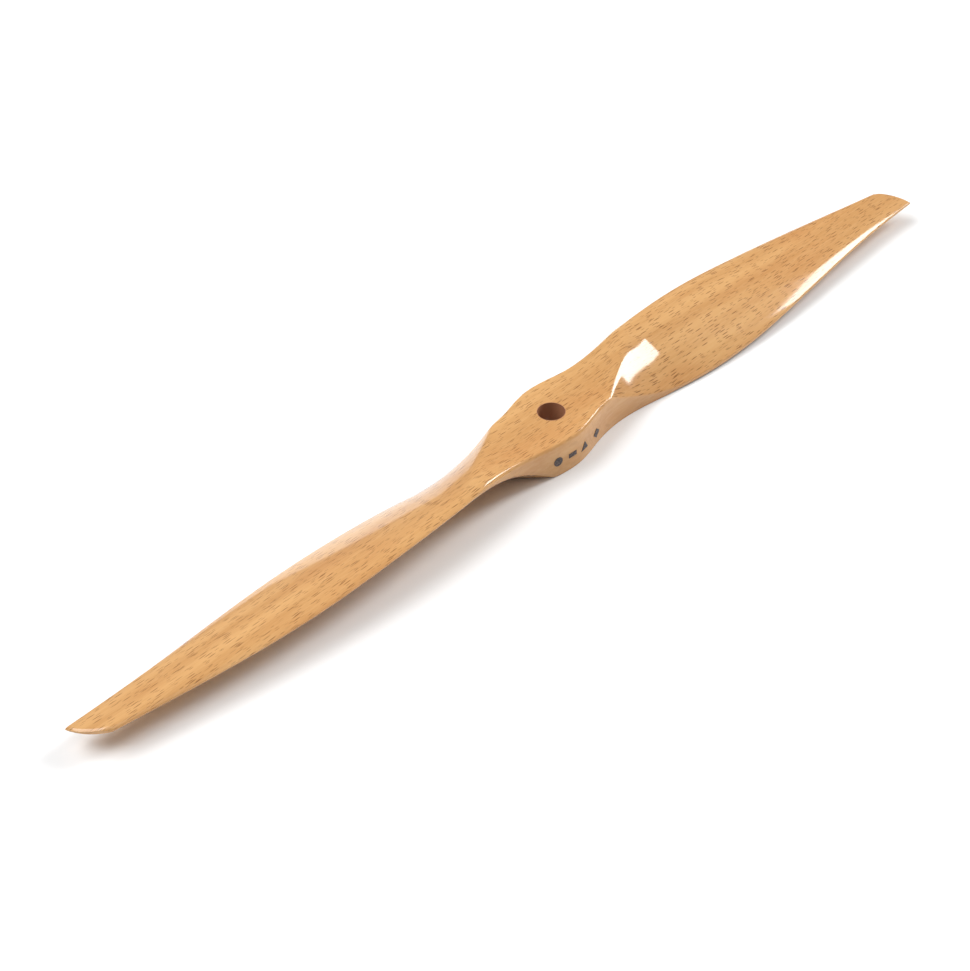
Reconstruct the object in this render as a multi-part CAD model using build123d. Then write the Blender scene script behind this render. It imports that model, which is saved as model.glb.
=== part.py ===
"""Two-blade beech propeller for a model aircraft engine, 13 in diameter x 6 in pitch.

Frame: origin on the shaft bore at the rear face of the hub, +Z forward along the shaft,
blades along +X and -X. Seen from the front it turns counter-clockwise, so the leading
edge of the +X blade is on the +Y side and is the high edge.

The shape follows the way the real one is made: a flat board is cut to the plan outline,
then the front and back of each blade are carved down, which leaves the flat hub faces,
the ridge where the carving starts and the thin, round-nosed blades.
"""
import math
import os

from build123d import *

os.makedirs("parts", exist_ok=True)

# Driving dimensions, mm
DIAMETER = 330.2
PITCH = 152.4              # advance in one turn, 6 in
HUB_THICKNESS = 11.4
BOARD_THICKNESS = 15.0     # board before the hub faces are cut to thickness
FACE_LENGTH = 13.0         # flat hub face, each side of the bore
RUNOUT_LENGTH = 46.0       # end of the cut that makes the front hub face
RUNOUT_RISE = 3.0          # height of that end above the hub face
BORE = 8.0
HUB_EDGE_RADIUS = 0.9      # sanded edge around the hub faces
INK_FILM = 0.1             # printed marks stand this proud of the wood

# Blade section, mm
BLADE_HEIGHT = 6.2         # back of the blade at mid-chord, above the rear hub face
ROOT_THICKNESS = 4.6       # at mid-chord, thinner in a straight line towards the tip
TIP_THICKNESS = 1.4
AFT_THICKNESS = 1.0        # at the trailing edge
FORE_THICKNESS = 1.8       # at the leading edge, before its nose is rounded
NOSE_DROP = 0.9            # depth of the rounded nose
NOSE_SHARE = 0.17          # width of the nose as a share of the chord
RELIEF_DEPTH = 0.2         # sanded relief along the outer trailing edge
RELIEF_WIDTH = 3.0
RIDGE_WIDTH = 1.2          # rounding of the ridge where the carving meets the hub face

# Twist: the blade follows the pitch, a fifth coarser where it is widest
WIDEST_RADIUS = 72
COARSER = 0.2
COARSER_SPREAD = 25
TWIST_EASE = 24            # keeps the twist finite near the shaft

# Wood left standing towards the hub, on the front and on the back
FRONT_SWELL = 28
BACK_SWELL = 30

# Rounded tip: an arc from outside the leading edge to the tip corner
TIP_OFFSET = 6.0           # tip corner behind the blade centre line
TIP_ROUND = 17.5
TIP_START = (151, 7)
TIP_X = math.sqrt((DIAMETER / 2) ** 2 - TIP_OFFSET ** 2)

# Plan outline of the +Y edge as (x, y): trailing edge of the -X blade, hub, then
# leading edge of the +X blade. The -Y edge is this curve turned half a turn.
EDGE = [
    (-172, 6), (-140, 7.5), (-105, 11), (-72, 13), (-45, 11), (-21, 8), (-10, 9.5), (0, 12),
    (18, 10.5), (40, 11.5), (72, 13), (105, 11.5), (140, 7), (172, 2),
]

# Printed marks on the hub side: node name, centre x, centre z
INK_MARKS = [
    ("ink_disc", -9.4, 5.3), ("ink_bar", -4.0, 5.1), ("ink_wedge", 1.4, 4.5), ("ink_diamond", 8.2, 4.3),
]


def smooth_curve(table, column):
    """Natural cubic curve through one column of a table, as a function of the first."""
    xs = [row[0] for row in table]
    ys = [row[column] for row in table]
    count = len(xs)
    bend = [0.0] * count
    carry = [0.0] * count
    for i in range(1, count - 1):
        share = (xs[i] - xs[i - 1]) / (xs[i + 1] - xs[i - 1])
        pivot = share * bend[i - 1] + 2
        rise = (ys[i + 1] - ys[i]) / (xs[i + 1] - xs[i]) - (ys[i] - ys[i - 1]) / (xs[i] - xs[i - 1])
        bend[i] = (share - 1) / pivot
        carry[i] = (6 * rise / (xs[i + 1] - xs[i - 1]) - share * carry[i - 1]) / pivot
    bend[-1] = 0.0
    for i in range(count - 2, -1, -1):
        bend[i] = bend[i] * bend[i + 1] + carry[i]

    def value(x):
        i = 0
        while i < count - 2 and x > xs[i + 1]:
            i += 1
        width = xs[i + 1] - xs[i]
        a = (xs[i + 1] - x) / width
        b = (x - xs[i]) / width
        sag = ((a ** 3 - a) * bend[i] + (b ** 3 - b) * bend[i + 1]) * width ** 2 / 6
        return a * ys[i] + b * ys[i + 1] + sag

    return value


edge_y = smooth_curve(EDGE, 1)


def smooth_step(low, high, value):
    """0 below low, 1 above high, with a smooth rise between them."""
    share = min(max((value - low) / (high - low), 0.0), 1.0)
    return share * share * (3 - 2 * share)


def swell(amount, power, radius):
    """Extra wood towards the hub, gone where the hub face's run-out ends."""
    return amount * max(1 - radius / RUNOUT_LENGTH, 0.0) ** power


def blade_slope(radius):
    """Rise across the chord per millimetre, from the pitch."""
    coarser = 1 + COARSER * math.exp(-((radius - WIDEST_RADIUS) / COARSER_SPREAD) ** 2)
    return coarser * PITCH / (2 * math.pi * math.hypot(radius, TWIST_EASE))


def tip_curve(steps):
    """Points on the arc of the rounded tip, from the leading edge to the tip corner."""
    half_x = (TIP_X - TIP_START[0]) / 2
    half_y = (-TIP_OFFSET - TIP_START[1]) / 2
    reach = math.sqrt(TIP_ROUND ** 2 / (half_x ** 2 + half_y ** 2) - 1)
    centre_x = TIP_START[0] + half_x + half_y * reach
    centre_y = TIP_START[1] + half_y - half_x * reach
    first = math.atan2(TIP_START[1] - centre_y, TIP_START[0] - centre_x)
    last = math.atan2(-TIP_OFFSET - centre_y, TIP_X - centre_x)
    angles = [first + (last - first) * k / steps for k in range(steps + 1)]
    return [(centre_x + TIP_ROUND * math.cos(a), centre_y + TIP_ROUND * math.sin(a)) for a in angles]


def soft_min(a, b, blend):
    """The smaller of two heights, blended where they are close."""
    share = min(max(0.5 + 0.5 * (b - a) / blend, 0.0), 1.0)
    return b + (a - b) * share - blend * share * (1 - share)


def roll(distance, width):
    """1 at the edge of the wood, falling to 0 at the given distance inside it."""
    if distance >= width:
        return 0.0
    if distance <= 0:
        return 1 - 2.6 * distance / width
    return (1 - distance / width) ** 2.6


def face_z(radius):
    """Height of the cut that makes the front hub face: flat, then rising towards the blade."""
    return HUB_THICKNESS + RUNOUT_RISE * smooth_step(FACE_LENGTH, RUNOUT_LENGTH, radius)


def hub_edge(radius):
    """Size of the sanded edge: full around the hub, a quarter of it along the blade."""
    return (1 - 0.75 * smooth_step(8, 22, radius)) * HUB_EDGE_RADIUS


def back_line(radius, chord, aft):
    """Back of the blade, straight from the trailing to the leading edge."""
    middle = BLADE_HEIGHT - swell(BACK_SWELL, 2.5, radius)
    return middle + blade_slope(radius) * (aft - chord / 2)


def carved_front(radius, chord, aft):
    """Front of the blade as carved, before the hub face is cut: the back plus the thickness."""
    share = aft / chord
    edges = AFT_THICKNESS + (FORE_THICKNESS - AFT_THICKNESS) * share
    middle = ROOT_THICKNESS + (TIP_THICKNESS - ROOT_THICKNESS) * 2 * radius / DIAMETER
    crown = (middle - (AFT_THICKNESS + FORE_THICKNESS) / 2) * smooth_step(0, 40, radius)
    extra = swell(FRONT_SWELL, 2, radius) + swell(BACK_SWELL, 2.5, radius)
    return back_line(radius, chord, aft) + edges + 4 * crown * share * (1 - share) + extra


def nose_width(radius, chord):
    """Width of the leading edge's rounding: the hub's sanded edge, then a share of the chord."""
    outer = smooth_step(20, 50, radius)
    return (1 - outer) * HUB_EDGE_RADIUS + outer * NOSE_SHARE * chord


def front_section(radius, chord):
    """Front height at one radius, as a function of the distance from the trailing edge."""
    cap = face_z(radius) + 0.05
    relief = RELIEF_DEPTH * smooth_step(60, 95, radius)
    edge = hub_edge(radius)
    nose = nose_width(radius, chord)

    def height(aft):
        top = soft_min(carved_front(radius, chord, aft), cap, RIDGE_WIDTH)
        top -= relief * max(1 - max(aft, 0) / RELIEF_WIDTH, 0) ** 2
        return top - NOSE_DROP * roll(chord - aft, nose) - edge * roll(aft, 1.2 * edge)

    return height


def back_section(radius, chord):
    """Back height at one radius, with the leading edge's lower corner sanded."""

    def height(aft):
        return back_line(radius, chord, aft) + 0.5 * roll(chord - aft, 0.8)

    return height


def section_wire(x):
    """Closed cross-section at x: front curve, high wall, back curve, low wall."""
    low = -edge_y(-x)
    chord = edge_y(x) - low
    front = front_section(abs(x), chord)
    back = back_section(abs(x), chord)
    rim = [0.0, 0.3, 0.7, 1.3, 2.1, 3.2]
    inner = [3.2 + (chord - 6.4) * k / 9 for k in range(1, 9)]
    offsets = rim + inner + [chord - r for r in reversed(rim)]
    afts = offsets if x >= 0 else [chord - offset for offset in offsets]
    top = [Vector(x, low + offset, front(aft)) for offset, aft in zip(offsets, afts)]
    bottom = [Vector(x, low + offset, back(aft)) for offset, aft in zip(offsets, afts)]
    shares = [k / (len(offsets) - 1) for k in range(len(offsets))]
    front_edge = Edge.make_spline(top, parameters=shares)
    back_edge = Edge.make_spline(bottom[::-1], parameters=shares)
    high_wall = Edge.make_line(top[-1], bottom[-1])
    low_wall = Edge.make_line(bottom[0], top[0])
    return Wire([front_edge, high_wall, back_edge, low_wall])


def blades():
    """Both blades and the hub sides, lofted through sections from tip to tip."""
    right = [2.5 * k for k in range(1, 21)]
    right += [56, 63, 71, 80, 90, 100, 110, 120, 130, 140, 150, 160, 169]
    stations = [-x for x in reversed(right)] + [0] + right
    return Solid.make_loft([section_wire(x) for x in stations])


def tip_waste():
    """Wood outside the rounded tip of the +X blade."""
    start, middle, corner = tip_curve(2)
    curve = ThreePointArc(start, middle, corner)
    below = (TIP_X + 0.1, -9)
    rest = Polyline(corner, below, (180, -9), (180, 20), (146, 20), (146, 9), start)
    return extrude(make_face(Wire([curve, *rest.edges()])), BOARD_THICKNESS)


def board():
    """Board cut to the side profile: flat rear, flat front hub face and its run-outs."""
    steps = [FACE_LENGTH + (RUNOUT_LENGTH - FACE_LENGTH) * k / 6 for k in range(7)]
    points = [(x, face_z(x)) for x in steps]
    right = Spline(*points, tangents=[(1, 0), (1, 0)])
    left = Spline(*[(-x, z) for x, z in points], tangents=[(-1, 0), (-1, 0)])
    top = face_z(RUNOUT_LENGTH)
    face = Line((-FACE_LENGTH, HUB_THICKNESS), (FACE_LENGTH, HUB_THICKNESS))
    ends = [(RUNOUT_LENGTH, top), (200, top), (200, 0), (-200, 0), (-200, top), (-RUNOUT_LENGTH, top)]
    rest = Polyline(*ends)
    profile = Plane.XZ * make_face(Wire([face, right, left, *rest.edges()]))
    return extrude(profile, 30, both=True)


def carved_body():
    """The finished wood: flat hub faces, rounded tips and the shaft bore."""
    drill = Pos(0, 0, HUB_THICKNESS / 2) * Cylinder(BORE / 2, 2 * HUB_THICKNESS)
    tip = tip_waste()
    return (blades() & board()) - drill - tip - tip.rotate(Axis.Z, 180)


def mark_outline(name):
    """Plain shapes about 3 mm across, used in place of lettering."""
    if name == "ink_disc":
        return Circle(1.5)
    if name == "ink_bar":
        return Rectangle(3.0, 1.5)
    if name == "ink_wedge":
        return Rot(0, 0, 90) * RegularPolygon(1.9, 3)
    return Rot(0, 0, 45) * Rectangle(2.4, 2.4)


def hub_side_film():
    """Skin just outside the near side of the hub, where the marks are printed."""
    side = Spline(*[(x, 0.5 - edge_y(-x)) for x in range(-12, 13, 3)])
    skin = Spline(*[(x, -edge_y(-x) - INK_FILM) for x in range(-12, 13, 3)])
    ends = [Line(side @ 0, skin @ 0), Line(side @ 1, skin @ 1)]
    return extrude(make_face(Wire([side, skin, *ends])), HUB_THICKNESS)


def ink_marks(body):
    """Film of ink on the near side of the hub, one solid for each mark."""
    film = hub_side_film() - body
    marks = {}
    for name, x, z in INK_MARKS:
        plane = Plane(origin=(x, -8, z), x_dir=(1, 0, 0), z_dir=(0, -1, 0))
        marks[name] = film & extrude(plane * mark_outline(name), 6)
    return marks


if __name__ == "__main__":
    parts = {"propeller_body": carved_body()}
    parts.update(ink_marks(parts["propeller_body"]))
    for node, shape in parts.items():
        export_step(shape, f"parts/{node}.step")
        print(node, len(shape.solids()), round(shape.volume, 3), shape.is_valid)
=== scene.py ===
"""Look of the wooden propeller: lacquered beech, printed marks, studio floor, lights and camera."""

import math

import bpy
import numpy as np
from mathutils import Matrix, Vector


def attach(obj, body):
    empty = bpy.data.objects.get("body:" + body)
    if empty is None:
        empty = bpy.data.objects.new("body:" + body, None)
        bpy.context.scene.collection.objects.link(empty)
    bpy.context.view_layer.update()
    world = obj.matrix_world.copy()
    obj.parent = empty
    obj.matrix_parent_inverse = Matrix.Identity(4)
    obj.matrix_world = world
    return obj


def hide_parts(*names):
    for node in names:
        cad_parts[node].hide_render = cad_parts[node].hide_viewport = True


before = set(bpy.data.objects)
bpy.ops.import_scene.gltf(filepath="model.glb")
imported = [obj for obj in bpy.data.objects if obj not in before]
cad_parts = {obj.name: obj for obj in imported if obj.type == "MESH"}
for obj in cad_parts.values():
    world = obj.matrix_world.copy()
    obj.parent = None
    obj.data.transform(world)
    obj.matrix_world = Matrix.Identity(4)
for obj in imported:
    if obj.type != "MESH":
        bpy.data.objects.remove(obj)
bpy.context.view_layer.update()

MM = 0.001

# Colours of the wood, linear
WOOD_LIGHT = (0.68, 0.378, 0.149)
WOOD_DARK = (0.57, 0.292, 0.104)
WOOD_RED = (0.55, 0.250, 0.082)
WOOD_PALE = (0.73, 0.450, 0.205)
WOOD_RAY = (0.22, 0.085, 0.028)
BORE_PAINTED_SHADE = (0.42, 0.20, 0.11)     # painted shade: darker wood colour on the bore wall, standing in for the shade inside the bore

# Printing ink, where it is dense and where it is worn
INK_DENSE = (0.018, 0.012, 0.016)
INK_WORN = (0.11, 0.07, 0.06)

# Short dark rays in the wood: cell length and spacing in metres, share of the cell, shift of the pattern
LARGE_RAYS = (0.0078, 0.00066, 0.215, (3.1, 0.4, 0))
SMALL_RAYS = (0.0046, 0.00046, 0.21, (7.7, 2.2, 0))
SMALL_RAY_STRENGTH = 0.8
RAY_STRENGTH = 0.85
RAY_LEAN = 0.18                    # sideways shift of a ray with depth

# Studio
FLOOR_HALF = 6.0
FLOOR_GAP = 0.00005                # keeps the floor clear of the hub's rear face
WORLD_STRENGTH = 0.18

# Camera: where it stands, seen from the shaft bore, then how far it turns away. Angles in
# degrees, lens and sensor width in millimetres
CAMERA_AZIMUTH = -46.2
CAMERA_ELEVATION = 39.9
CAMERA_ROLL = -0.3
CAMERA_DISTANCE = 549 * MM
CAMERA_PAN = -2.0
CAMERA_TILT = -1.3
CAMERA_LENS = 70.5
CAMERA_SENSOR = 36


# ---------------------------------------------------------------- shape of the wood, mm
# The carved body again as an even, dense skin, from the same dimensions as the CAD part, so
# that the lacquer's reflections run as smoothly as they do on the sanded wood.

DIAMETER = 330.2
PITCH = 152.4              # advance in one turn, 6 in
HUB_THICKNESS = 11.4
FACE_LENGTH = 13.0         # flat hub face, each side of the bore
RUNOUT_LENGTH = 46.0       # end of the cut that makes the front hub face
RUNOUT_RISE = 3.0          # height of that end above the hub face
BORE_RADIUS = 4.0
HUB_EDGE_RADIUS = 0.9      # sanded edge around the hub faces

# Edges: how steeply a rounding falls off, and the lower corner of the leading edge
ROLL_POWER = 2.6
BACK_CORNER = 0.5
BACK_CORNER_WIDTH = 0.8
CAP_GAP = 0.05             # the carving runs into a plane this far above the hub face

# Blade section, mm
BLADE_HEIGHT = 6.2         # back of the blade at mid-chord, above the rear hub face
ROOT_THICKNESS = 4.6       # at mid-chord, thinner in a straight line towards the tip
TIP_THICKNESS = 1.4
AFT_THICKNESS = 1.0        # at the trailing edge
FORE_THICKNESS = 1.8       # at the leading edge, before its nose is rounded
NOSE_DROP = 0.9            # depth of the rounded nose
NOSE_SHARE = 0.17          # width of the nose as a share of the chord
RELIEF_DEPTH = 0.2         # sanded relief along the outer trailing edge
RELIEF_WIDTH = 3.0
RIDGE_WIDTH = 1.2          # rounding of the ridge where the carving meets the hub face

# Twist: the blade follows the pitch, a fifth coarser where it is widest
WIDEST_RADIUS = 72
COARSER = 0.2
COARSER_SPREAD = 25
TWIST_EASE = 24            # keeps the twist finite near the shaft

# Wood left standing towards the hub, on the front and on the back
FRONT_SWELL = 28
BACK_SWELL = 30

# Rounded tip: an arc from outside the leading edge to the tip corner
TIP_OFFSET = 6.0           # tip corner behind the blade centre line
TIP_ROUND = 17.5
TIP_START = (151, 7)
TIP_LEAD = (146, 9)        # outline of the cut before the arc, clear of the wood
TIP_X = math.sqrt((DIAMETER / 2) ** 2 - TIP_OFFSET ** 2)

# Plan outline of the +Y edge as (x, y): trailing edge of the -X blade, hub, then
# leading edge of the +X blade. The -Y edge is this curve turned half a turn.
EDGE = [
    (-172, 6), (-140, 7.5), (-105, 11), (-72, 13), (-45, 11), (-21, 8), (-10, 9.5), (0, 12),
    (18, 10.5), (40, 11.5), (72, 13), (105, 11.5), (140, 7), (172, 2),
]


def smooth_curve(table, column):
    """Natural cubic curve through one column of a table, as a function of the first."""
    xs = np.array([row[0] for row in table], float)
    ys = np.array([row[column] for row in table], float)
    count = len(xs)
    gaps = np.diff(xs)
    rises = np.diff(ys) / gaps
    system = np.eye(count)
    right = np.zeros(count)
    for i in range(1, count - 1):
        system[i, i - 1:i + 2] = gaps[i - 1], 2 * (gaps[i - 1] + gaps[i]), gaps[i]
        right[i] = 6 * (rises[i] - rises[i - 1])
    bend = np.linalg.solve(system, right)

    def value(x):
        x = np.asarray(x, float)
        i = np.clip(np.searchsorted(xs, x) - 1, 0, count - 2)
        a = (xs[i + 1] - x) / gaps[i]
        b = (x - xs[i]) / gaps[i]
        sag = ((a ** 3 - a) * bend[i] + (b ** 3 - b) * bend[i + 1]) * gaps[i] ** 2 / 6
        return a * ys[i] + b * ys[i + 1] + sag

    return value


edge_y = smooth_curve(EDGE, 1)


def smooth_step(low, high, value):
    """0 below low, 1 above high, with a smooth rise between them."""
    share = min(max((value - low) / (high - low), 0.0), 1.0)
    return share * share * (3 - 2 * share)


def swell(amount, power, radius):
    """Extra wood towards the hub, gone where the hub face's run-out ends."""
    return amount * max(1 - radius / RUNOUT_LENGTH, 0.0) ** power


def blade_slope(radius):
    """Rise across the chord per millimetre, from the pitch."""
    coarser = 1 + COARSER * math.exp(-((radius - WIDEST_RADIUS) / COARSER_SPREAD) ** 2)
    return coarser * PITCH / (2 * math.pi * math.hypot(radius, TWIST_EASE))


def tip_curve(steps):
    """Points on the arc of the rounded tip, from the leading edge to the tip corner."""
    half_x = (TIP_X - TIP_START[0]) / 2
    half_y = (-TIP_OFFSET - TIP_START[1]) / 2
    reach = math.sqrt(TIP_ROUND ** 2 / (half_x ** 2 + half_y ** 2) - 1)
    centre_x = TIP_START[0] + half_x + half_y * reach
    centre_y = TIP_START[1] + half_y - half_x * reach
    first = math.atan2(TIP_START[1] - centre_y, TIP_START[0] - centre_x)
    last = math.atan2(-TIP_OFFSET - centre_y, TIP_X - centre_x)
    angles = [first + (last - first) * k / steps for k in range(steps + 1)]
    return [(centre_x + TIP_ROUND * math.cos(a), centre_y + TIP_ROUND * math.sin(a)) for a in angles]


def soft_min(a, b, blend):
    """The smaller of two heights, blended where they are close."""
    share = np.clip(0.5 + 0.5 * (b - a) / blend, 0.0, 1.0)
    return b + (a - b) * share - blend * share * (1 - share)


def roll(distance, width):
    """1 at the edge of the wood, falling to 0 at the given distance inside it."""
    return np.clip(1 - distance / width, 0.0, 1.0) ** ROLL_POWER


def hub_edge(radius):
    """Size of the sanded edge: full around the hub, a quarter of it along the blade."""
    return (1 - 0.75 * smooth_step(8, 22, radius)) * HUB_EDGE_RADIUS


def face_z(radius):
    """Height of the cut that makes the front hub face: flat, then rising towards the blade."""
    return HUB_THICKNESS + RUNOUT_RISE * smooth_step(FACE_LENGTH, RUNOUT_LENGTH, radius)


def back_line(radius, chord, aft):
    """Back of the blade, straight from the trailing to the leading edge."""
    middle = BLADE_HEIGHT - swell(BACK_SWELL, 2.5, radius)
    return middle + blade_slope(radius) * (aft - chord / 2)


def carved_front(radius, chord, aft):
    """Front of the blade as carved, before the hub face is cut: the back plus the thickness."""
    share = aft / chord
    edges = AFT_THICKNESS + (FORE_THICKNESS - AFT_THICKNESS) * share
    middle = ROOT_THICKNESS + (TIP_THICKNESS - ROOT_THICKNESS) * 2 * radius / DIAMETER
    crown = (middle - (AFT_THICKNESS + FORE_THICKNESS) / 2) * smooth_step(0, 40, radius)
    extra = swell(FRONT_SWELL, 2, radius) + swell(BACK_SWELL, 2.5, radius)
    return back_line(radius, chord, aft) + edges + 4 * crown * share * (1 - share) + extra


def nose_width(radius, chord):
    """Width of the leading edge's rounding: the hub's sanded edge, then a share of the chord."""
    outer = smooth_step(20, 50, radius)
    return (1 - outer) * HUB_EDGE_RADIUS + outer * NOSE_SHARE * chord


def front_height(radius, chord, aft):
    """Height of the front face at distances aft from the trailing edge."""
    top = soft_min(carved_front(radius, chord, aft), face_z(radius) + CAP_GAP, RIDGE_WIDTH)
    relief = RELIEF_DEPTH * smooth_step(60, 95, radius)
    top = top - relief * np.clip(1 - aft / RELIEF_WIDTH, 0, 1) ** 2
    edge = hub_edge(radius)
    return top - NOSE_DROP * roll(chord - aft, nose_width(radius, chord)) - edge * roll(aft, 1.2 * edge)


def back_height(radius, chord, aft):
    """Height of the back at distances aft from the trailing edge, never below the hub's rear face."""
    corner = BACK_CORNER * roll(chord - aft, BACK_CORNER_WIDTH)
    return np.maximum(back_line(radius, chord, aft) + corner, 0.0)


# Skin: points across the front and the back, and rows in the walls between them
TOP_COLUMNS = 112
BACK_COLUMNS = 64
WALL_ROWS = 3
CROWDING = 0.78            # how much the points crowd towards both edges

# Skin: distance between sections on the root and on the blade, and sections round the tip, mm
ROOT_END = 50
BLADE_END = 152
ROOT_STEP = 0.7
BLADE_STEP = 1.3
TIP_SECTIONS = 46
SLANT_START = 155          # from here the tip's rounding follows the slant of its outline

# Rounding where the tip is cut, as depth and width, on the front and on the back
TIP_TOP = (0.42, 1.3)
TIP_BACK = (0.25, 0.8)

# Sanded lower corners of both edges: depth, which is also the least wall left, and width
CORNER = 0.12
CORNER_WIDTH = 0.25
THINNEST = 0.05            # width of the section at the very tip
NO_CUT = 99                # outline of the tip cut where there is none

DRILL_SIDES = 96
DRILL_SPARE = 1.0          # the drill reaches this far past both hub faces


def spread(count):
    """Shares from 0 to 1, closer together near both ends."""
    u = np.linspace(0, 1, count)
    return u - CROWDING * np.sin(2 * math.pi * u) / (2 * math.pi)


def tip_outline():
    """Outline of the tip cut, from outside the leading edge to the tip corner."""
    return np.array([TIP_LEAD] + tip_curve(400))


def stations():
    """Places of the sections along the +X blade, closest round the tip, and the tip's outline."""
    outline = tip_outline()
    root = np.arange(0, ROOT_END, ROOT_STEP)
    blade = np.arange(ROOT_END, BLADE_END, BLADE_STEP)
    plain = np.concatenate([root, blade])
    inside = outline[outline[:, 0] > plain[-1] + 0.6]
    steps = np.concatenate([[0], np.cumsum(np.hypot(*np.diff(inside, axis=0).T))])
    even = np.linspace(0, steps[-1], TIP_SECTIONS)[:-1]
    return np.concatenate([plain, np.interp(even, steps, inside[:, 0])]), outline


def tip_slant(x, outline):
    """Share of a distance across the blade that is square to the tip's outline."""
    if x <= SLANT_START:
        return 1.0
    near = outline[np.abs(outline[:, 0] - x).argmin() - 1:][:2]
    run = near[1] - near[0]
    return abs(run[0]) / math.hypot(*run)


def section_ring(x, outline):
    """Closed ring of points at one station of the +X blade: front, high wall, back, low wall."""
    low, high = -float(edge_y(-x)), float(edge_y(x))
    chord = high - low
    end = min(chord, float(np.interp(x, outline[:, 0], outline[:, 1], left=NO_CUT)) - low)
    end = max(end, THINNEST)
    aft = end * spread(TOP_COLUMNS)
    slant = tip_slant(x, outline)
    gap = (end - aft) * slant
    cut = 1.0 if end < chord - 0.01 else 0.0
    top = front_height(x, chord, aft) - cut * TIP_TOP[0] * roll(gap, TIP_TOP[1])
    below = end * spread(BACK_COLUMNS)[::-1]
    under = back_height(x, chord, below) + cut * TIP_BACK[0] * roll((end - below) * slant, TIP_BACK[1])
    under = under + CORNER * np.clip(1 - below / CORNER_WIDTH, 0, 1) ** 2
    under = under + CORNER * np.clip(1 - (end - below) / CORNER_WIDTH, 0, 1) ** 2
    under[0] = min(under[0], top[-1] - CORNER)
    under[-1] = min(under[-1], top[0] - CORNER)
    rows = np.linspace(0, 1, WALL_ROWS + 2)[1:-1]
    fore_wall = [(low + end, top[-1] + (under[0] - top[-1]) * s) for s in rows]
    aft_wall = [(low, under[-1] + (top[0] - under[-1]) * s) for s in rows]
    ring = list(zip(low + aft, top)) + fore_wall + list(zip(low + below, under)) + aft_wall
    return [(x, y, z) for y, z in ring]


def turned(ring):
    """The same section of the -X blade, with its points in the order that the +X blade has."""
    points = [(-x, -y, z) for x, y, z in ring]
    front = points[:TOP_COLUMNS]
    fore = points[TOP_COLUMNS:TOP_COLUMNS + WALL_ROWS]
    under = points[TOP_COLUMNS + WALL_ROWS:TOP_COLUMNS + WALL_ROWS + BACK_COLUMNS]
    aft = points[TOP_COLUMNS + WALL_ROWS + BACK_COLUMNS:]
    return front[::-1] + aft[::-1] + under[::-1] + fore[::-1]


def wood_mesh():
    """Both blades and the hub as one closed mesh, in metres."""
    xs, outline = stations()
    half = [section_ring(x, outline) for x in xs]
    rings = [turned(ring) for ring in reversed(half[1:])] + half
    size = len(half[0])
    vertices = [(x * MM, y * MM, z * MM) for ring in rings for x, y, z in ring]
    faces = []
    for i in range(len(rings) - 1):
        for j in range(size):
            a, b, k = i * size, (i + 1) * size, (j + 1) % size
            faces.append((a + j, b + j, b + k, a + k))
    last = (len(rings) - 1) * size
    faces.append(tuple(range(size)))
    faces.append(tuple(last + j for j in reversed(range(size))))
    mesh = bpy.data.meshes.new("carved_wood")
    mesh.from_pydata(vertices, [], faces)
    return mesh


def bore_cutter():
    """Drill for the shaft bore, longer than the hub at both ends."""
    vertices = []
    for z in (-DRILL_SPARE, HUB_THICKNESS + DRILL_SPARE):
        for k in range(DRILL_SIDES):
            angle = 2 * math.pi * k / DRILL_SIDES
            x, y = BORE_RADIUS * math.cos(angle), BORE_RADIUS * math.sin(angle)
            vertices.append((x * MM, y * MM, z * MM))
    faces = []
    for k in range(DRILL_SIDES):
        n = (k + 1) % DRILL_SIDES
        faces.append((k, n, DRILL_SIDES + n, DRILL_SIDES + k))
    faces.append(tuple(reversed(range(DRILL_SIDES))))
    faces.append(tuple(range(DRILL_SIDES, 2 * DRILL_SIDES)))
    mesh = bpy.data.meshes.new("drill")
    mesh.from_pydata(vertices, [], faces)
    return bpy.data.objects.new("drill", mesh)


def carve():
    """The finished wood object, drilled and smooth-shaded."""
    solid = bpy.data.objects.new("carved_wood", wood_mesh())
    drill = bore_cutter()
    for obj in (solid, drill):
        bpy.context.scene.collection.objects.link(obj)
    cut = solid.modifiers.new("bore", "BOOLEAN")
    cut.operation = "DIFFERENCE"
    cut.solver = "EXACT"
    cut.object = drill
    bpy.context.view_layer.update()
    ready = bpy.data.meshes.new_from_object(solid.evaluated_get(bpy.context.evaluated_depsgraph_get()))
    solid.modifiers.clear()
    solid.data = ready
    bpy.data.objects.remove(drill)
    ready.shade_smooth()
    ready.set_sharp_from_angle(angle=math.radians(38))
    return solid


# ---------------------------------------------------------------- node helpers

def math_node(tree, operation, a, b=None):
    """Result of one calculation on sockets or plain numbers."""
    made = tree.nodes.new("ShaderNodeMath")
    made.operation = operation
    for slot, value in enumerate((a, b)):
        if value is None:
            continue
        if isinstance(value, (int, float)):
            made.inputs[slot].default_value = value
        else:
            tree.links.new(value, made.inputs[slot])
    return made.outputs[0]


def ramp(tree, factor, low, high, out_low=0.0, out_high=1.0):
    """Smooth change from out_low to out_high as the factor goes from low to high."""
    made = tree.nodes.new("ShaderNodeMapRange")
    made.interpolation_type = "SMOOTHSTEP"
    made.inputs["From Min"].default_value = low
    made.inputs["From Max"].default_value = high
    made.inputs["To Min"].default_value = out_low
    made.inputs["To Max"].default_value = out_high
    tree.links.new(factor, made.inputs["Value"])
    return made.outputs["Result"]


def mix_colour(tree, factor, a, b):
    """Colour a turning into colour b as the factor goes from 0 to 1."""
    made = tree.nodes.new("ShaderNodeMix")
    made.data_type = "RGBA"
    sockets = [s for s in made.inputs if s.enabled]
    for socket, value in zip(sockets, (factor, a, b)):
        if isinstance(value, (int, float)):
            socket.default_value = value
        elif isinstance(value, tuple):
            socket.default_value = (*value, 1.0)
        else:
            tree.links.new(value, socket)
    return [s for s in made.outputs if s.enabled][0]


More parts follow.
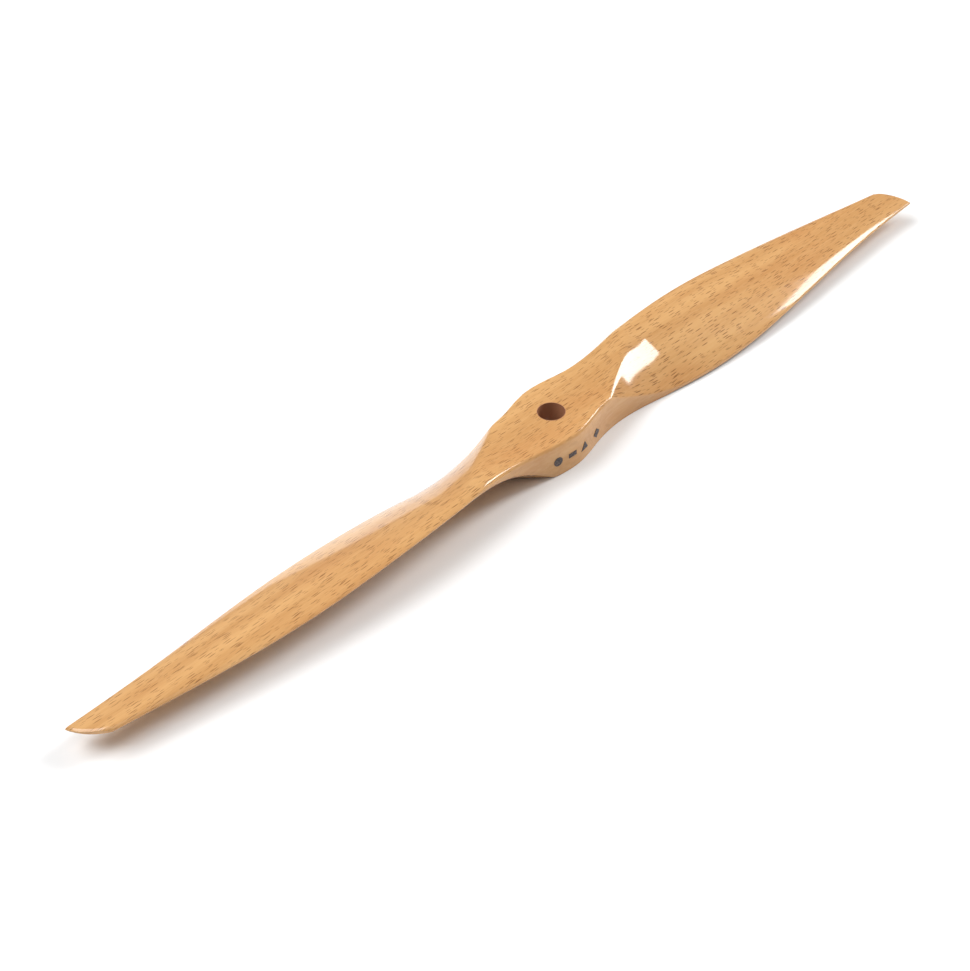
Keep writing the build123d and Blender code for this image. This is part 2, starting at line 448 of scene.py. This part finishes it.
def new_material(name):
    """Material with one Principled shader: the material, its node tree and the shader."""
    made = bpy.data.materials.new(name)
    made.use_nodes = True
    tree = made.node_tree
    tree.nodes.clear()
    out = tree.nodes.new("ShaderNodeOutputMaterial")
    shader = tree.nodes.new("ShaderNodeBsdfPrincipled")
    tree.links.new(shader.outputs[0], out.inputs["Surface"])
    return made, tree, shader


# ---------------------------------------------------------------- materials

def stretched(tree, point, scale, offset=(0.0, 0.0, 0.0)):
    """Coordinates scaled on each axis, then shifted."""
    made = tree.nodes.new("ShaderNodeMapping")
    made.inputs["Scale"].default_value = scale
    made.inputs["Location"].default_value = offset
    tree.links.new(point, made.inputs["Vector"])
    return made.outputs[0]


def noise(tree, point, scale, detail=2.0, roughness=0.5):
    """Soft noise between 0 and 1."""
    made = tree.nodes.new("ShaderNodeTexNoise")
    made.inputs["Scale"].default_value = scale
    made.inputs["Detail"].default_value = detail
    made.inputs["Roughness"].default_value = roughness
    tree.links.new(point, made.inputs["Vector"])
    return made.outputs["Fac"]


def dashes(tree, point, length, spacing, fill, offset):
    """Cut ends of the wood rays: short thin streaks along the grain, 1 in a streak, 0 between."""
    split = tree.nodes.new("ShaderNodeSeparateXYZ")
    tree.links.new(point, split.inputs[0])
    # the rays stand nearly upright in the board, so they lean a little as they go down
    lean = math_node(tree, "MULTIPLY", split.outputs["Z"], RAY_LEAN)
    across = math_node(tree, "ADD", split.outputs["Y"], lean)
    flat = tree.nodes.new("ShaderNodeCombineXYZ")
    tree.links.new(split.outputs["X"], flat.inputs["X"])
    tree.links.new(across, flat.inputs["Y"])
    cells = stretched(tree, flat.outputs[0], (1 / length, 1 / spacing, 1.0), offset)
    made = tree.nodes.new("ShaderNodeTexVoronoi")
    made.voronoi_dimensions = "2D"
    made.feature = "F1"
    made.inputs["Scale"].default_value = 1.0
    made.inputs["Randomness"].default_value = 1.0
    tree.links.new(cells, made.inputs["Vector"])
    streak = ramp(tree, made.outputs["Distance"], fill * 0.5, fill, 1.0, 0.0)
    chance = tree.nodes.new("ShaderNodeSeparateColor")
    tree.links.new(made.outputs["Color"], chance.inputs[0])
    strength = ramp(tree, chance.outputs[0], 0.2, 0.8, 0.0, 1.0)
    return math_node(tree, "MULTIPLY", streak, strength)


def wandering(tree, point):
    """Coordinates of the grain, which wanders a little along the blades."""
    drift = noise(tree, stretched(tree, point, (18, 60, 60)), 1.0, 1.0)
    bend = tree.nodes.new("ShaderNodeVectorMath")
    bend.operation = "MULTIPLY_ADD"
    bend.inputs[1].default_value = (0.0, 0.0022, 0.0022)
    tree.links.new(drift, bend.inputs[0])
    tree.links.new(point, bend.inputs[2])
    return bend.outputs[0]


def grain_colour(tree, point, patches, fibres):
    """Growth bands, reddish patches and pale fibres, before the rays."""
    bands = noise(tree, stretched(tree, point, (9, 190, 120)), 1.0, 3.0, 0.55)
    colour = mix_colour(tree, ramp(tree, bands, 0.34, 0.68), WOOD_DARK, WOOD_LIGHT)
    colour = mix_colour(tree, ramp(tree, patches, 0.42, 0.70, 0.0, 0.6), colour, WOOD_RED)
    return mix_colour(tree, ramp(tree, fibres, 0.35, 0.75, 0.0, 0.30), colour, WOOD_PALE)


def ray_streaks(tree, normal, point):
    """Both sizes of ray, full on the carved faces and faint on the sides of the board."""
    large = dashes(tree, point, *LARGE_RAYS)
    small = dashes(tree, point, *SMALL_RAYS)
    streaks = math_node(tree, "MAXIMUM", large, math_node(tree, "MULTIPLY", small, SMALL_RAY_STRENGTH))
    facing = tree.nodes.new("ShaderNodeSeparateXYZ")
    tree.links.new(normal, facing.inputs[0])
    upright = math_node(tree, "ABSOLUTE", facing.outputs["Z"])
    return math_node(tree, "MULTIPLY", streaks, ramp(tree, upright, 0.25, 0.7, 0.12, 1.0))


def bore_painted_shade_mask(tree, point):
    """1 on the wall of the bore, where the painted shade darkens the wood, 0 on the rest of the wood."""
    split = tree.nodes.new("ShaderNodeSeparateXYZ")
    tree.links.new(point, split.inputs[0])
    squares = [math_node(tree, "MULTIPLY", split.outputs[k], split.outputs[k]) for k in ("X", "Y")]
    radius = math_node(tree, "SQRT", math_node(tree, "ADD", squares[0], squares[1]))
    return ramp(tree, radius, 0.00405, 0.00425, 1.0, 0.0)


def beech():
    """Beech with fine grain and short dark rays under a clear gloss coat, with painted shade on the bore
    wall.
    """
    made, tree, shader = new_material("lacquered_beech")
    place = tree.nodes.new("ShaderNodeTexCoord")
    point = place.outputs["Object"]
    grain_point = wandering(tree, point)
    patches = noise(tree, stretched(tree, grain_point, (22, 60, 45), (4, 1, 2)), 1.0, 2.0)
    fibres = noise(tree, stretched(tree, grain_point, (140, 2600, 1500)), 1.0, 3.0, 0.6)
    colour = grain_colour(tree, grain_point, patches, fibres)
    streaks = ray_streaks(tree, place.outputs["Normal"], grain_point)
    colour = mix_colour(tree, math_node(tree, "MULTIPLY", streaks, RAY_STRENGTH), colour, WOOD_RAY)
    # painted shade: the bore wall is darkened to stand in for the shade that falls inside the bore
    colour = mix_colour(tree, bore_painted_shade_mask(tree, point), colour, BORE_PAINTED_SHADE)
    tree.links.new(colour, shader.inputs["Base Color"])

    bump = tree.nodes.new("ShaderNodeBump")
    bump.inputs["Strength"].default_value = 0.12
    bump.inputs["Distance"].default_value = 0.00005
    tree.links.new(math_node(tree, "SUBTRACT", fibres, streaks), bump.inputs["Height"])
    tree.links.new(bump.outputs[0], shader.inputs["Normal"])
    shader.inputs["Roughness"].default_value = 0.55
    shader.inputs["Specular IOR Level"].default_value = 0.05
    shader.inputs["Coat Weight"].default_value = 1.0
    tree.links.new(ramp(tree, patches, 0.35, 0.75, 0.075, 0.12), shader.inputs["Coat Roughness"])
    shader.inputs["Coat IOR"].default_value = 1.5
    return made


def print_ink():
    """Black ink, a little worn in specks."""
    made, tree, shader = new_material("print_ink")
    place = tree.nodes.new("ShaderNodeTexCoord")
    speck = noise(tree, place.outputs["Object"], 2500, 2.0)
    colour = mix_colour(tree, ramp(tree, speck, 0.42, 0.68), INK_DENSE, INK_WORN)
    tree.links.new(colour, shader.inputs["Base Color"])
    shader.inputs["Roughness"].default_value = 0.45
    shader.inputs["Coat Weight"].default_value = 0.15
    shader.inputs["Coat Roughness"].default_value = 0.2
    return made


def floor_material():
    """Matt white studio floor."""
    made, _, shader = new_material("studio_floor")
    shader.inputs["Base Color"].default_value = (0.9, 0.9, 0.9, 1.0)
    shader.inputs["Roughness"].default_value = 0.9
    shader.inputs["Specular IOR Level"].default_value = 0.1
    return made


wood = beech()
ink = print_ink()
for name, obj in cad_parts.items():
    chosen = ink if name.startswith("ink_") else wood
    for slot in obj.material_slots:
        slot.material = chosen

carved = carve()
carved.data.materials.clear()
carved.data.materials.append(wood)
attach(carved, "root")
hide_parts("propeller_body")

# ---------------------------------------------------------------- floor

floor_mesh = bpy.data.meshes.new("studio_floor")
floor_corners = [(FLOOR_HALF * x, FLOOR_HALF * y, 0) for x, y in ((-1, -1), (1, -1), (1, 1), (-1, 1))]
floor_mesh.from_pydata(floor_corners, [], [(0, 1, 2, 3)])
floor = bpy.data.objects.new("studio_floor", floor_mesh)
floor.location.z = -FLOOR_GAP
floor_mesh.materials.append(floor_material())
bpy.context.scene.collection.objects.link(floor)

# ---------------------------------------------------------------- lights


def aim(azimuth, elevation):
    """Direction from the object: azimuth from +X towards +Y, elevation above the floor."""
    a, e = math.radians(azimuth), math.radians(elevation)
    return Vector((math.cos(a) * math.cos(e), math.sin(a) * math.cos(e), math.sin(e)))


def soft_box(name, direction, width, height, distance, radiance):
    """Rectangular light facing the object: width and height in degrees, as the object sees them."""
    outward = aim(*direction)
    azimuth = math.radians(direction[0])
    side = Vector((-math.sin(azimuth), math.cos(azimuth), 0))
    data = bpy.data.lights.new(name, "AREA")
    data.shape = "RECTANGLE"
    data.size = 2 * distance * math.tan(math.radians(width / 2))
    data.size_y = 2 * distance * math.tan(math.radians(height / 2))
    data.energy = radiance * data.size * data.size_y * math.pi
    obj = bpy.data.objects.new(name, data)
    axes = Matrix((side, outward.cross(side), outward)).transposed()
    obj.matrix_world = Matrix.Translation(outward * distance) @ axes.to_4x4()
    bpy.context.scene.collection.objects.link(obj)


# a window whose reflection lies on the +X blade, a wide key from the far side and a weak fill
soft_box("window", (-15, 30), 16, 30, 2.5, 15)
soft_box("key", (126, 54), 50, 38, 2.6, 5.0)
soft_box("fill", (-130, 68), 40, 30, 2.6, 1.3)

world = bpy.data.worlds.new("studio")
bpy.context.scene.world = world
world.use_nodes = True
world.node_tree.nodes["Background"].inputs["Color"].default_value = (1, 1, 1, 1)
world.node_tree.nodes["Background"].inputs["Strength"].default_value = WORLD_STRENGTH

# ---------------------------------------------------------------- camera


def set_camera():
    """Puts the camera in place and makes it the scene's camera."""
    azimuth = math.radians(CAMERA_AZIMUTH)
    elevation = math.radians(CAMERA_ELEVATION)
    roll = math.radians(CAMERA_ROLL)
    back = Vector((math.sin(azimuth) * math.cos(elevation), -math.cos(azimuth) * math.cos(elevation),
                   math.sin(elevation)))
    right = (-back).cross(Vector((0, 0, 1))).normalized()
    up = right.cross(-back)
    rolled = right * math.cos(roll) + up * math.sin(roll)
    up = up * math.cos(roll) - right * math.sin(roll)
    right = rolled
    forward = -back + right * math.tan(math.radians(CAMERA_PAN)) + up * math.tan(math.radians(CAMERA_TILT))
    forward.normalize()
    right = (right - forward * right.dot(forward)).normalized()
    up = right.cross(forward)
    data = bpy.data.cameras.new("camera")
    data.lens = CAMERA_LENS
    data.sensor_width = CAMERA_SENSOR
    data.clip_start = 0.01
    data.clip_end = 50
    obj = bpy.data.objects.new("camera", data)
    turn = Matrix((right, up, -forward)).transposed()
    obj.matrix_world = Matrix.Translation(back * CAMERA_DISTANCE) @ turn.to_4x4()
    bpy.context.scene.collection.objects.link(obj)
    bpy.context.scene.camera = obj


set_camera()
bpy.context.scene.view_settings.view_transform = "Standard"
